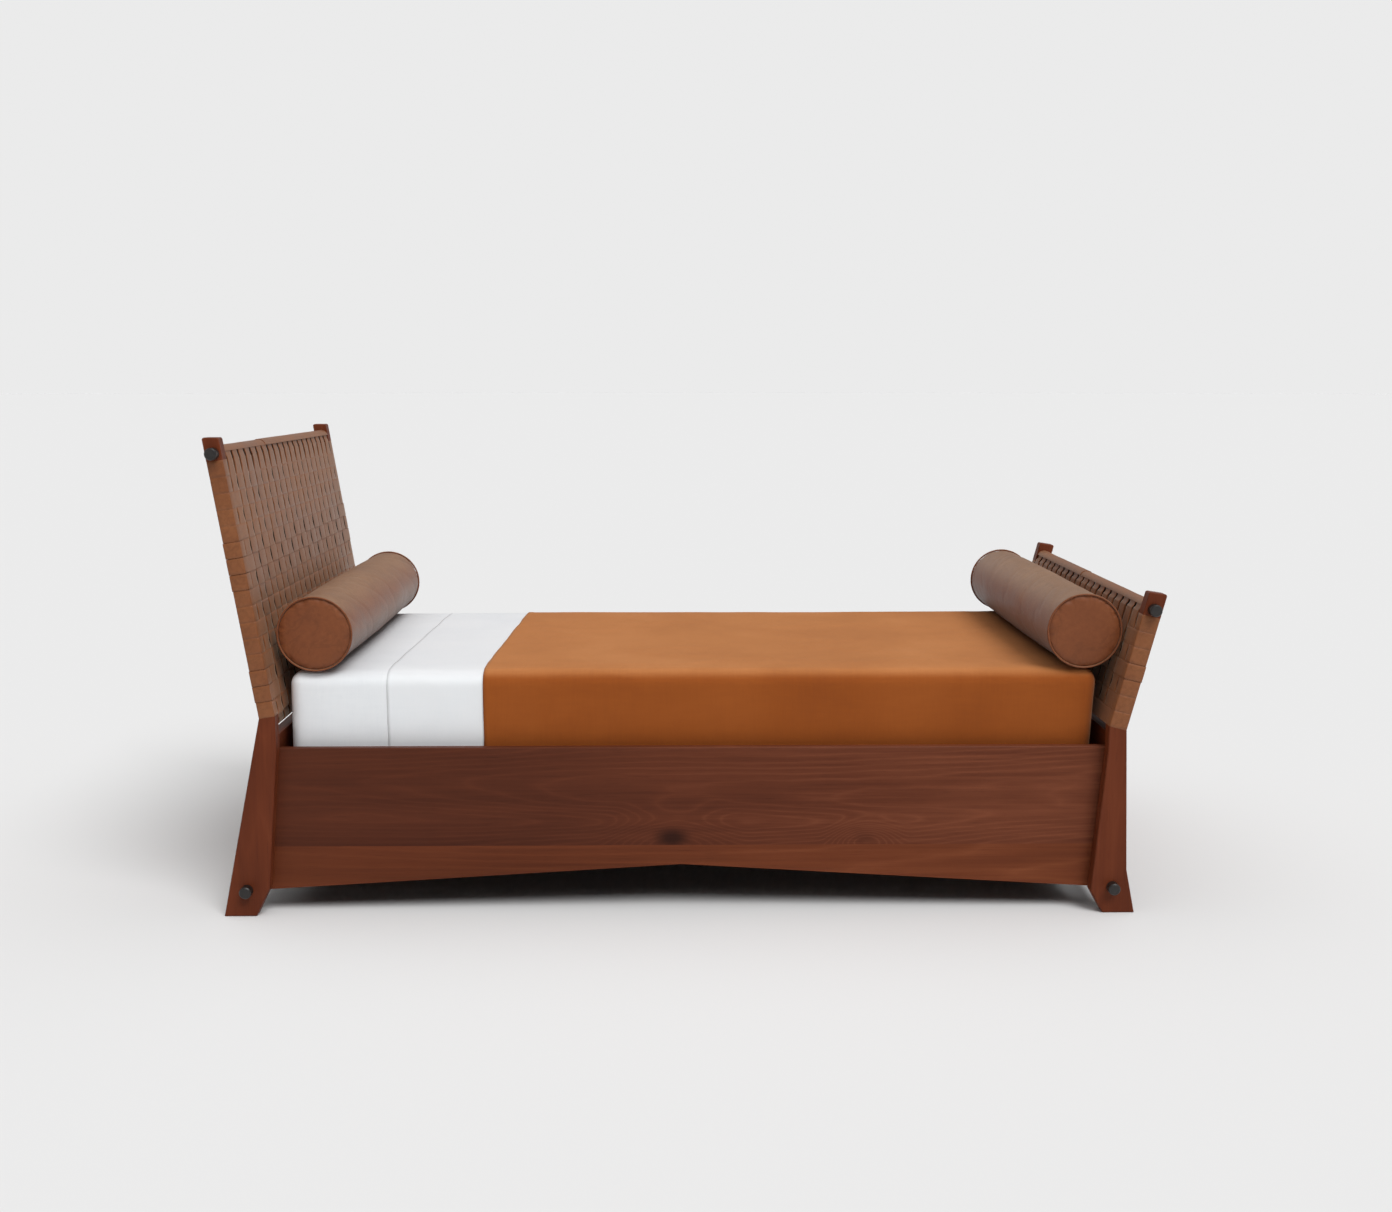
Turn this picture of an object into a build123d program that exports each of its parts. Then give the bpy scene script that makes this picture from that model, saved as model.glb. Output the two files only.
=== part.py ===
"""Daybed: raked hardwood end frames with woven leather panels, boarded side rails,
a slatted deck, a dressed mattress and two round bolsters.

Millimetres. X runs from the head end to the foot end, Y across the bed, Z up.
The origin is on the floor, under the middle of the whole bed.
"""
from build123d import *
import math
import os

# ---------------------------------------------------------------- mattress and bedding
mattress_length = 1905.0
mattress_width = 965.0
mattress_depth = 254.0
mattress_sink = 83.5          # how far the mattress sits down between the side rails
mattress_corner_radius = 40.0
mattress_edge_radius = 28.0
mattress_head_gap = 6.0       # mattress to head leg
mattress_foot_gap = 4.1       # mattress to foot leg
mattress_side_gap = 15.5      # mattress to side rail
fitted_sheet_thickness = 1.0
top_sheet_thickness = 1.0
coverlet_thickness = 2.4
layer_gap = 0.1               # between one layer of bedding and the next
rest_gap = 0.3                # between a loose piece and what it rests on
bedding_hem_height = 12.0     # bedding stops this far above the mattress's underside
top_sheet_start = 246.0       # from the head end of the mattress
coverlet_start = 472.0        # from the head end of the mattress

# ---------------------------------------------------------------- bolsters
bolster_diameter = 178.0
bolster_length = 965.0
bolster_skin = 2.5
head_bolster_gap = 17.0       # bolster to head panel
foot_bolster_gap = 6.0        # bolster to foot panel

# ---------------------------------------------------------------- side rails and deck
rail_top = 391.5
rail_end_bottom = 54.0
rail_apex_rise = 57.0         # the underside rises this much to the middle
rail_joint_height = 157.0     # glue line between the two boards
rail_thickness = 22.0
ledger_height = 40.0
ledger_thickness = 24.0
ledger_end_gap = 8.0
slat_count = 14
slat_width = 68.0
slat_thickness = 18.0
slat_end_gap = 2.0

# ---------------------------------------------------------------- end frames
post_thickness = 34.0
leg_rake = 4.9                # degrees, both pairs of legs lean the same way below the rails
sole_width = 74.4
edge_ease = 2.0
post_top_radius = 5.0
rod_diameter = 28.0
rod_projection = 22.0
rod_chamfer = 2.5
stretcher_height = 62.0
panel_rod_rise = 66.5         # panel rod's axis above the side rails' top
panel_rod_housing = 16.0      # depth of the panel rod's blind holes
fit_gap = 0.1                 # radial or face clearance in a fitted wooden joint

end_rail_thickness = 26.0
end_rail_setback = 6.0        # inner face behind the legs' inner edges
end_rail_rise = 31.5          # above the side rails' top
end_rail_bottom = 88.0
tenon_length = 20.0
tenon_thickness = 14.0
tenon_shoulder = 40.0

# ---------------------------------------------------------------- woven leather
strap_thickness = 2.0
weft_gap = 0.8
warp_gap = 2.4
warp_count = 20
wrap_corner_radius = 1.6

# ---------------------------------------------------------------- hardware
bolt_diameter = 8.0
bolt_length = 86.0
bolt_head_diameter = 16.0
bolt_head_height = 5.0
washer_diameter = 20.0
washer_thickness = 2.0
bolt_bore_gap = 0.4
bolt_recess_depth = 2.0
barrel_diameter = 14.0
barrel_length = 16.0
barrel_reach = 48.0           # barrel nut's axis from the rail's end
lower_bolt_rise = 66.0        # above the rail's lower corner
upper_bolt_drop = 91.5        # below the rail's top
screw_diameter = 4.0
screw_head_diameter = 8.0
screw_head_height = 2.4
screw_bore_gap = 0.05
slat_screw_length = 42.0
slat_screw_inset = 14.0       # from the slat's end
ledger_screw_length = 40.0
bays_per_ledger_screw = 2     # a ledger screw in the middle of every second bay

# ---------------------------------------------------------------- worked out from the above
rake_slope = math.tan(math.radians(leg_rake))
rail_inner_y = mattress_width / 2 + mattress_side_gap
rail_outer_y = rail_inner_y + rail_thickness
half_width = rail_outer_y + post_thickness
clear_length = mattress_length + mattress_head_gap + mattress_foot_gap
mattress_bottom = rail_top - mattress_sink
mattress_top = mattress_bottom + mattress_depth
deck_top = mattress_bottom - rest_gap
ledger_top = deck_top - slat_thickness
rod_radius = rod_diameter / 2
bolster_radius = bolster_diameter / 2
end_rail_top = rail_top + end_rail_rise
panel_rod_height = rail_top + panel_rod_rise
lower_bolt_height = rail_end_bottom + lower_bolt_rise
upper_bolt_height = rail_top - upper_bolt_drop

# The head end and the foot end are one design with these differences. "out" is the way
# the end faces along X. "knee" is where the leg turns into the leaning stile, and its rise
# is above the side rails' top. A stile is deep enough for the rod and four thicknesses of
# strap, plus a little spare.
HEAD = dict(
    name="head", out=-1, lean=9.05, stile_depth=rod_diameter + 4 * strap_thickness + 1.2,
    knee_rise=83.0, rows=16, row_pitch=37.0, top_above_rod=36.5, top_slope=0.0,
    low_knee_height=66.0, heel_run=32.0, ankle_height=None, ankle_run=0.0,
)
FOOT = dict(
    name="foot", out=1, lean=14.4, stile_depth=rod_diameter + 4 * strap_thickness + 6.0,
    knee_rise=54.5, rows=7, row_pitch=38.4, top_above_rod=39.0, top_slope=9.0,
    low_knee_height=52.0, heel_run=29.2, ankle_height=103.0, ankle_run=12.7,
)


# ---------------------------------------------------------------- geometry of an end frame
def stile_axes(end):
    """Unit vectors up the stile and outward across it, in (x, z)."""
    lean = math.radians(end["lean"])
    up = (end["out"] * math.sin(lean), math.cos(lean))
    across = (end["out"] * math.cos(lean), -math.sin(lean))
    return up, across


def step(point, *moves):
    """A point moved by (direction, distance) pairs, in (x, z)."""
    x, z = point
    for (dx, dz), distance in moves:
        x += dx * distance
        z += dz * distance
    return x, z


def meet(point_a, direction_a, point_b, direction_b):
    """Where two lines in (x, z) cross."""
    (ax, az), (bx, bz) = direction_a, direction_b
    dx = point_b[0] - point_a[0]
    dz = point_b[1] - point_a[1]
    distance = (dx * bz - dz * bx) / (ax * bz - az * bx)
    return step(point_a, (direction_a, distance))


def hip_x(end):
    """X of the legs' inner edge at the top of the side rails."""
    return end["out"] * clear_length / 2 + centre_shift


def inner_x(end, height, setback=0.0):
    """X of the raked line that the rails' ends and the end rail follow."""
    return hip_x(end) + (height - rail_top) * rake_slope + end["out"] * setback


def inner_knee(end):
    return hip_x(end), rail_top + end["knee_rise"]


def knee_centre(end):
    """Middle of the stile where it meets the leg."""
    up, across = stile_axes(end)
    return step(inner_knee(end), (across, end["stile_depth"] / 2))


def weave_height(end):
    return end["rows"] * end["row_pitch"]


def top_rod_reach(end):
    """Distance up the stile from the knee to the top rod's axis."""
    return weave_height(end) + rod_radius + strap_thickness + 2 * fit_gap


def top_rod_centre(end):
    up, across = stile_axes(end)
    return step(knee_centre(end), (up, top_rod_reach(end)))


def panel_rod_reach(end):
    """Distance up the stile from the knee to the panel rod's axis."""
    up, across = stile_axes(end)
    return (panel_rod_height - knee_centre(end)[1]) / up[1]


def panel_rod_centre(end):
    up, across = stile_axes(end)
    return step(knee_centre(end), (up, panel_rod_reach(end)))


def stretcher_centre(end):
    """The low rod passes through the middle of the leg."""
    low = inner_x(end, stretcher_height)
    toe = toe_x(end)
    return (low + toe) / 2 - end["out"] * edge_ease, stretcher_height


def heel_x(end):
    return inner_x(end, end["low_knee_height"]) + end["out"] * end["heel_run"]


def toe_x(end):
    return heel_x(end) + end["out"] * sole_width


def top_corners(end):
    """Inner and outer corners at the top of the post."""
    up, across = stile_axes(end)
    half = end["stile_depth"] / 2
    slope = math.radians(end["top_slope"])
    cut = (end["out"] * math.cos(slope), -math.sin(slope))
    middle = step(top_rod_centre(end), (up, end["top_above_rod"]))
    inner = meet(middle, cut, step(knee_centre(end), (across, -half)), up)
    outer = meet(middle, cut, step(knee_centre(end), (across, half)), up)
    return inner, outer


def post_outline(end):
    """The post's side view, from the heel up the inside and down the outside."""
    up, across = stile_axes(end)
    outer_knee = step(knee_centre(end), (across, end["stile_depth"] / 2))
    low_knee = (inner_x(end, end["low_knee_height"]), end["low_knee_height"])
    points = [(heel_x(end), 0.0), low_knee, (hip_x(end), rail_top), inner_knee(end)]
    points += [*top_corners(end), outer_knee]
    if end["ankle_height"]:
        ankle_x = outer_knee[0] + end["out"] * end["ankle_run"]
        points.append((ankle_x, end["ankle_height"]))
    points.append((toe_x(end), 0.0))
    return points


# ---------------------------------------------------------------- helpers for solids
def side_slab(points, y_low, y_high):
    """A slab with this outline in (x, z), between two Y values."""
    wire = Polyline(*[(x, 0, z) for x, z in points], close=True)
    face = make_face(wire)
    slab = extrude(face, amount=y_high - y_low, dir=(0, 1, 0))
    return Pos(0, y_low, 0) * slab


def rod_along_y(centre, radius, y_low, y_high):
    x, z = centre
    rod = Cylinder(radius, y_high - y_low, rotation=(90, 0, 0))
    return Pos(x, (y_low + y_high) / 2, z) * rod


def rod_along_x(x_low, x_high, y, z, radius):
    rod = Cylinder(radius, x_high - x_low, rotation=(0, 90, 0))
    return Pos((x_low + x_high) / 2, y, z) * rod


def stile_frame(end):
    """Local frame at the knee: x outward across the stile, z up it, y along the bed's width."""
    up, across = stile_axes(end)
    x, z = knee_centre(end)
    return Plane(origin=(x, 0, z), x_dir=(across[0], 0, across[1]), z_dir=(up[0], 0, up[1]))


def in_stile_frame(end, shape):
    return stile_frame(end).location * shape


def save(shape, node):
    """Write one node; a list becomes a group of separate solids."""
    if isinstance(shape, list):
        shape = Compound(children=shape)
    shape.label = node
    export_step(shape, f"parts/{node}.step")


# ---------------------------------------------------------------- end frames
def wrap_recess(end, side):
    """What is cut from a stile so that the straps lie flush with the bare wood."""
    depth = end["stile_depth"]
    cut = strap_thickness + fit_gap
    height = weave_height(end)
    around = Box(depth + 4 * cut, post_thickness + 4 * cut, height)
    core = Box(depth - 2 * cut, post_thickness - 2 * cut, height)
    y = side * (half_width - post_thickness / 2)
    return Pos(0, y, 0) * in_stile_frame(end, Pos(0, 0, height / 2) * (around - core))


def eased_post(end, y_low, y_high):
    slab = side_slab(post_outline(end), y_low, y_high)
    across = slab.edges().filter_by(Axis.Y)
    slab = fillet(across.sort_by(Axis.Z)[-2:], post_top_radius)
    front = slab.faces().sort_by(Axis.Y)[0].edges()
    rear = slab.faces().sort_by(Axis.Y)[-1].edges()
    return chamfer(front + rear, edge_ease)


def find_centre_shift():
    """Moves the bed along X so that its two ends are equally far from the origin."""
    boxes = [eased_post(end, rail_outer_y, half_width).bounding_box() for end in (HEAD, FOOT)]
    return -(boxes[0].min.X + boxes[1].max.X) / 2


centre_shift = 0.0
centre_shift = find_centre_shift()


def end_rail_body(end):
    """The end rail's board, raked with the legs, without its tenons."""
    near = end_rail_setback
    far = end_rail_setback + end_rail_thickness
    corners = [(end_rail_bottom, near), (end_rail_top, near), (end_rail_top, far), (end_rail_bottom, far)]
    points = [(inner_x(end, height, setback), height) for height, setback in corners]
    return side_slab(points, -rail_outer_y, rail_outer_y)


def end_rail_tenons(end, gap=0.0):
    near = end_rail_setback + (end_rail_thickness - tenon_thickness) / 2 - gap
    far = near + tenon_thickness + 2 * gap
    low = end_rail_bottom + tenon_shoulder - gap
    high = end_rail_top - tenon_shoulder + gap
    corners = [(low, near), (high, near), (high, far), (low, far)]
    points = [(inner_x(end, height, setback), height) for height, setback in corners]
    reach = rail_outer_y + tenon_length + gap
    return side_slab(points, -reach, reach)


def post(end, side):
    """side is -1 for the front post and 1 for the rear one."""
    y_low, y_high = sorted((side * rail_outer_y, side * half_width))
    shape = eased_post(end, y_low, y_high)
    shape -= wrap_recess(end, side)
    reach = half_width + rod_projection
    shape -= rod_along_y(top_rod_centre(end), rod_radius + fit_gap, -reach, reach)
    shape -= rod_along_y(stretcher_centre(end), rod_radius + fit_gap, -reach, reach)
    housing = rail_outer_y + panel_rod_housing + fit_gap
    shape -= rod_along_y(panel_rod_centre(end), rod_radius + fit_gap, -housing, housing)
    shape -= end_rail_tenons(end, fit_gap)
    return shape


def through_rod(centre):
    """A dowel that passes through both posts and stands proud of them."""
    reach = half_width + rod_projection
    rod = rod_along_y(centre, rod_radius, -reach, reach)
    return chamfer(rod.edges().filter_by(GeomType.CIRCLE), rod_chamfer)


def panel_rod(end):
    reach = rail_outer_y + panel_rod_housing
    return rod_along_y(panel_rod_centre(end), rod_radius, -reach, reach)


def end_rail(end):
    shape = end_rail_body(end) + end_rail_tenons(end)
    for side in (-1, 1):
        for height in (lower_bolt_height, upper_bolt_height):
            shape -= bolt_bore(end, side, height)
            shape -= bolt_head_recess(end, side, height)
    return shape


# ---------------------------------------------------------------- woven leather
def weft_straps(end):
    """Flat straps that each go once round both stiles."""
    depth = end["stile_depth"]
    width = end["row_pitch"] - weft_gap
    outer = Box(depth, 2 * half_width, width)
    outer = fillet(outer.edges().filter_by(Axis.Z), wrap_corner_radius)
    hollow = Box(depth - 2 * strap_thickness, 2 * (half_width - strap_thickness), width)
    loop = outer - hollow
    rises = [(row + 0.5) * end["row_pitch"] for row in range(end["rows"])]
    return [in_stile_frame(end, Pos(0, 0, rise) * loop) for rise in rises]


def warp_straps(end):
    """Flat straps that each run over the top rod and under the panel rod."""
    pitch = 2 * rail_outer_y / warp_count
    low, high = panel_rod_reach(end), top_rod_reach(end)
    hole_radius = rod_radius + fit_gap
    outline = SlotCenterToCenter(high - low, 2 * (hole_radius + strap_thickness), rotation=90)
    hole = SlotCenterToCenter(high - low, 2 * hole_radius, rotation=90)
    ring = Pos(0, 0, (low + high) / 2) * (Plane.XZ * (outline - hole))
    loop = extrude(ring, amount=(pitch - warp_gap) / 2, both=True)
    places = [(column + 0.5) * pitch - rail_outer_y for column in range(warp_count)]
    return [in_stile_frame(end, Pos(0, y, 0) * loop) for y in places]


# ---------------------------------------------------------------- side rails and deck
def rail_board(low, high, side):
    """One of a side rail's two boards, between two height rules over the rail's length."""
    y_low, y_high = sorted((side * rail_inner_y, side * rail_outer_y))
    middle = (inner_x(HEAD, low) + inner_x(FOOT, low)) / 2
    points = [(inner_x(HEAD, low, end_rail_setback), low)]
    if low < rail_joint_height:
        points.append((middle, low + rail_apex_rise))
    points += [(inner_x(FOOT, low, end_rail_setback), low)]
    points += [(inner_x(FOOT, high, end_rail_setback), high)]
    points += [(inner_x(HEAD, high, end_rail_setback), high)]
    return side_slab(points, y_low, y_high)


def upper_rail(side):
    shape = rail_board(rail_joint_height, rail_top, side)
    shape = chamfer(shape.faces().sort_by(Axis.Z)[-1].edges().filter_by(Axis.X), edge_ease)
    for end in (HEAD, FOOT):
        shape -= bolt_bore(end, side, upper_bolt_height)
        shape -= barrel_bore(end, side, upper_bolt_height)
    for cutter in ledger_screws(side, screw_bore_gap):
        shape -= cutter
    return shape


def lower_rail(side):
    shape = rail_board(rail_end_bottom, rail_joint_height, side)
    for end in (HEAD, FOOT):
        shape -= bolt_bore(end, side, lower_bolt_height)
        shape -= barrel_bore(end, side, lower_bolt_height)
    return shape


def ledger_span():
    low = ledger_top - ledger_height
    start = inner_x(HEAD, ledger_top, end_rail_setback) + ledger_end_gap
    stop = inner_x(FOOT, low, end_rail_setback) - ledger_end_gap
    return start, stop


def ledger(side):
    """The bearer along the inside of a side rail that carries the slats."""
    start, stop = ledger_span()
    shape = Box(stop - start, ledger_thickness, ledger_height)
    y = side * (rail_inner_y - ledger_thickness / 2)
    shape = Pos((start + stop) / 2, y, ledger_top - ledger_height / 2) * shape
    for cutter in ledger_screws(side, screw_bore_gap) + slat_screws(screw_bore_gap):
        shape -= cutter
    return shape


def slat_places():
    start, stop = ledger_span()
    pitch = (stop - start - slat_width) / (slat_count - 1)
    return [start + slat_width / 2 + index * pitch for index in range(slat_count)]


def slat(x):
    length = 2 * (rail_inner_y - slat_end_gap)
    shape = Box(slat_width, length, slat_thickness)
    shape = fillet(shape.edges().filter_by(Axis.Y), edge_ease)
    shape = Pos(x, 0, deck_top - slat_thickness / 2) * shape
    for side in (-1, 1):
        shape -= slat_screw(x, side, screw_bore_gap)
    return shape


# ---------------------------------------------------------------- hardware
def screw(length, gap):
    """A countersunk wood screw that points down, its head's top at the origin."""
    shank = Cylinder(screw_diameter / 2 + gap, length, align=(Align.CENTER, Align.CENTER, Align.MAX))
    head = Cone(
        screw_diameter / 2 + gap, screw_head_diameter / 2 + gap, screw_head_height,
        align=(Align.CENTER, Align.CENTER, Align.MAX),
    )
    return shank + head


def slat_screw(x, side, gap=0.0):
    y = side * (rail_inner_y - slat_end_gap - slat_screw_inset)
    return Pos(x, y, deck_top) * screw(slat_screw_length, gap)


def slat_screws(gap=0.0):
    return [slat_screw(x, side, gap) for x in slat_places() for side in (-1, 1)]


def ledger_screws(side, gap=0.0):
    """Screws through the ledger into the rail, halfway between slats."""
    slats = slat_places()
    bays = range(0, slat_count - 1, bays_per_ledger_screw)
    places = [(slats[bay] + slats[bay + 1]) / 2 for bay in bays]
    y = side * (rail_inner_y - ledger_thickness)
    z = ledger_top - ledger_height / 2
    turned = Rot(side * 90, 0, 0) * screw(ledger_screw_length, gap)
    return [Pos(x, y, z) * turned for x in places]


def bolt_y(side):
    return side * (rail_inner_y + rail_outer_y) / 2


def bolt_seat_x(end, height):
    """X of the flat that the bolt's washer bears on."""
    face = inner_x(end, height, end_rail_setback + end_rail_thickness)
    return face - end["out"] * (bolt_recess_depth + washer_diameter / 2 * rake_slope)


def bolt_bore(end, side, height):
    """Clearance hole through the end rail and into the side rail."""
    start = bolt_seat_x(end, height) + end["out"] * washer_diameter
    stop = bolt_seat_x(end, height) - end["out"] * (bolt_length + bolt_bore_gap)
    radius = bolt_diameter / 2 + bolt_bore_gap
    return rod_along_x(min(start, stop), max(start, stop), bolt_y(side), height, radius)


def bolt_head_recess(end, side, height):
    start = bolt_seat_x(end, height)
    stop = start + end["out"] * washer_diameter
    radius = washer_diameter / 2 + bolt_bore_gap
    return rod_along_x(min(start, stop), max(start, stop), bolt_y(side), height, radius)


def barrel_x(end, height):
    return inner_x(end, height, end_rail_setback) - end["out"] * barrel_reach


def barrel_bore(end, side, height):
    """Cross hole for the barrel nut, open on the rail's inner face."""
    inner = side * (rail_inner_y - 1)
    depth = side * (bolt_y(1) + barrel_length / 2 + fit_gap)
    radius = barrel_diameter / 2 + fit_gap
    return rod_along_y((barrel_x(end, height), height), radius, min(inner, depth), max(inner, depth))


def bolt_corners():
    heights = (lower_bolt_height, upper_bolt_height)
    return [(end, side, height) for end in (HEAD, FOOT) for side in (-1, 1) for height in heights]


def bed_bolt(end, side, height):
    seat = bolt_seat_x(end, height) + end["out"] * washer_thickness
    tip = seat - end["out"] * bolt_length
    top = seat + end["out"] * bolt_head_height
    y = bolt_y(side)
    shank = rod_along_x(min(seat, tip), max(seat, tip), y, height, bolt_diameter / 2)
    head = rod_along_x(min(seat, top), max(seat, top), y, height, bolt_head_diameter / 2)
    socket_length = bolt_head_height / 2
    socket = extrude(RegularPolygon(bolt_diameter / 2 * 0.7, 6), amount=socket_length, both=True)
    socket = Pos(top, y, height) * (Rot(0, 90, 0) * socket)
    return shank + head - socket


def washer(end, side, height):
    seat = bolt_seat_x(end, height)
    face = seat + end["out"] * washer_thickness
    low, high = min(seat, face), max(seat, face)
    y = bolt_y(side)
    disc = rod_along_x(low, high, y, height, washer_diameter / 2)
    return disc - rod_along_x(low, high, y, height, bolt_diameter / 2 + fit_gap)


def barrel_nut(end, side, height):
    x = barrel_x(end, height)
    y = bolt_y(side)
    nut = rod_along_y((x, height), barrel_diameter / 2, y - barrel_length / 2, y + barrel_length / 2)
    bore_radius = bolt_diameter / 2 + fit_gap
    return nut - rod_along_x(x - barrel_diameter, x + barrel_diameter, y, height, bore_radius)


# ---------------------------------------------------------------- mattress and bedding
def bed_block(grow):
    """The mattress's form, grown outward and upward; its foot end follows the raked leg."""
    start = hip_x(HEAD) + mattress_head_gap - grow
    stop = hip_x(FOOT) - mattress_foot_gap + grow
    tuck = mattress_sink * rake_slope
    top = mattress_top + grow
    half = mattress_width / 2 + grow
    outline = [(start, mattress_bottom), (stop - tuck, mattress_bottom), (stop, top), (start, top)]
    shape = side_slab(outline, -half, half)
    corners = shape.edges().filter_by(lambda edge: abs(edge.tangent_at(0.5).Z) > 0.9)
    shape = fillet(corners, mattress_corner_radius + grow)
    return fillet(shape.faces().sort_by(Axis.Z)[-1].edges(), mattress_edge_radius + grow)


def mattress():
    shape = bed_block(0.0)
    return chamfer(shape.faces().sort_by(Axis.Z)[0].edges(), mattress_edge_radius / 4)


def bedding_skin(inner, outer, from_head):
    """A layer of bedding over the mattress's top and sides, from a place to the foot end."""
    shell = bed_block(outer) - bed_block(inner)
    start = hip_x(HEAD) + mattress_head_gap + from_head
    stop = hip_x(FOOT) + mattress_length
    low = mattress_bottom + bedding_hem_height
    keep = Box(
        stop - start, 2 * mattress_width, 2 * mattress_depth,
        align=(Align.MIN, Align.CENTER, Align.MIN),
    )
    return shell & (Pos(start, 0, low) * keep)


def bedding_layers():
    """Inner and outer offsets of the fitted sheet, the top sheet and the coverlet."""
    layers = []
    inner = layer_gap
    for thickness in (fitted_sheet_thickness, top_sheet_thickness, coverlet_thickness):
        layers.append((inner, inner + thickness))
        inner += thickness + layer_gap
    return layers


# ---------------------------------------------------------------- bolsters
def bolster_centre(end, gap, cover_top):
    """Rests on the bed and stands off the panel by the gap."""
    up, across = stile_axes(end)
    height = cover_top + rest_gap + bolster_radius
    face = step(knee_centre(end), (across, -end["stile_depth"] / 2 - gap - bolster_radius))
    return meet(face, up, (0.0, height), (1.0, 0.0))


def bolster_fill(centre):
    reach = bolster_length / 2 - bolster_skin - fit_gap
    return rod_along_y(centre, bolster_radius - bolster_skin - fit_gap, -reach, reach)


def bolster_cover(centre):
    reach = bolster_length / 2 - bolster_skin
    tube = rod_along_y(centre, bolster_radius, -reach, reach)
    return tube - rod_along_y(centre, bolster_radius - bolster_skin, -reach, reach)


def bolster_ends(centre):
    """The round leather panels sewn into the two ends."""
    discs = []
    for side in (-1, 1):
        y_low, y_high = sorted((side * (bolster_length / 2 - bolster_skin), side * bolster_length / 2))
        discs.append(rod_along_y(centre, bolster_radius, y_low, y_high))
    return discs


# ---------------------------------------------------------------- write every node
def write_end_frame(end):
    name = end["name"]
    save(post(end, -1), f"{name}_post_front")
    save(post(end, 1), f"{name}_post_rear")
    save(through_rod(top_rod_centre(end)), f"{name}_top_rod")
    save(through_rod(stretcher_centre(end)), f"{name}_stretcher")
    save(panel_rod(end), f"{name}_panel_rod")
    save(end_rail(end), f"{name}_end_rail")
    save(weft_straps(end), f"{name}_weft_straps")
    save(warp_straps(end), f"{name}_warp_straps")


def write_sides_and_deck():
    for side, name in ((-1, "front"), (1, "rear")):
        save(upper_rail(side), f"{name}_rail_upper_board")
        save(lower_rail(side), f"{name}_rail_lower_board")
        save(ledger(side), f"{name}_ledger")
    for index, x in enumerate(slat_places(), start=1):
        save(slat(x), f"slat_{index:02d}")


def write_hardware():
    save([bed_bolt(*corner) for corner in bolt_corners()], "bed_bolts")
    save([washer(*corner) for corner in bolt_corners()], "bed_bolt_washers")
    save([barrel_nut(*corner) for corner in bolt_corners()], "barrel_nuts")
    save(slat_screws(), "slat_screws")
    save(ledger_screws(-1) + ledger_screws(1), "ledger_screws")


def write_bedding():
    fitted, top_sheet, coverlet = bedding_layers()
    save(mattress(), "mattress")
    save(bedding_skin(*fitted, -mattress_length), "fitted_sheet")
    save(bedding_skin(*top_sheet, top_sheet_start), "top_sheet")
    save(bedding_skin(*coverlet, coverlet_start), "coverlet")
    places = (
        ("head", bolster_centre(HEAD, head_bolster_gap, mattress_top + fitted[1])),
        ("foot", bolster_centre(FOOT, foot_bolster_gap, mattress_top + coverlet[1])),
    )
    for name, centre in places:
        save(bolster_fill(centre), f"{name}_bolster_fill")
        save(bolster_cover(centre), f"{name}_bolster_cover")
        save(bolster_ends(centre), f"{name}_bolster_ends")


os.makedirs("parts", exist_ok=True)
write_end_frame(HEAD)
write_end_frame(FOOT)
write_sides_and_deck()
write_hardware()
write_bedding()
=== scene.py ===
import math

import bmesh
import bpy
import numpy as np
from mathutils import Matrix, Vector, noise


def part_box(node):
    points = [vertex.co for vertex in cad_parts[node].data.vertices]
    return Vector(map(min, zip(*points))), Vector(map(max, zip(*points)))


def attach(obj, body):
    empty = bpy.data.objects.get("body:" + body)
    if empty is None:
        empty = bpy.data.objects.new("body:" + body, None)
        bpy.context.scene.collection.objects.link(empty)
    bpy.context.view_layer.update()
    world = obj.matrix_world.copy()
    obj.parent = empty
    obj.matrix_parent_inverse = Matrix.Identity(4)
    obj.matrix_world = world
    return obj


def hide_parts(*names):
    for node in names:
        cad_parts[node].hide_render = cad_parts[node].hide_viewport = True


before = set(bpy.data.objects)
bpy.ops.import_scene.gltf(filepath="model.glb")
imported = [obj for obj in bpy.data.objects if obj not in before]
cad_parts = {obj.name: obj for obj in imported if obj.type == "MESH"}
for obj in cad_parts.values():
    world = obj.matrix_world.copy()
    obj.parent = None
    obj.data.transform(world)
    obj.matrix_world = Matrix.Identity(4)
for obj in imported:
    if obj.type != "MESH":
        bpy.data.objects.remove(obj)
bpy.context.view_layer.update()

scene = bpy.context.scene

# ---------------------------------------------------------------- sizes, in metres
STRAP_THICK = 0.0017
STRAP_BEND = 0.0022  # radius of a crosswise strap at the stiles' corners
WARP_COUNT = 20
WARP_GAP = 0.0110  # about how much an upright strap narrows inside a row
WEAVE_DEPTH = 0.0015  # a strap rises and falls this much about its middle
WEFT_RAMP = 0.56 * WARP_GAP  # half the length in which a crosswise strap changes side
WARP_RAMP = 0.0034  # the same for an upright strap
WEFT_SHIFT, WARP_SHIFT = 0.0032, 0.0030  # a ramp lies this far under the strap on top
STEP_RISE, STEP_GAP, STEP_REACH = 0.0011, 0.0012, 0.0010  # a stepped row stands out a little
ROD_RADIUS = 0.014
ROD_LOOP = ROD_RADIUS + STRAP_THICK * 0.9  # radius of an upright strap round a rod
ROD_ABOVE_ROWS = 0.0162  # from the top row's edge to the top rod's middle
ROLL_RADIUS, ROLL_THICK = 0.0178, 0.0013
SHARP_ANGLE = 50  # degrees
TINY = 1e-9  # keeps a division by a length from failing

ENDS = {
    "head": dict(out=-1, rows=16, pitch=0.0370, depth=0.0372, stepped=(1, 2, 8, 9, 10), joint=-0.16),
    "foot": dict(out=1, rows=7, pitch=0.0384, depth=0.0420, stepped=(3,), joint=0.045),
}

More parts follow.
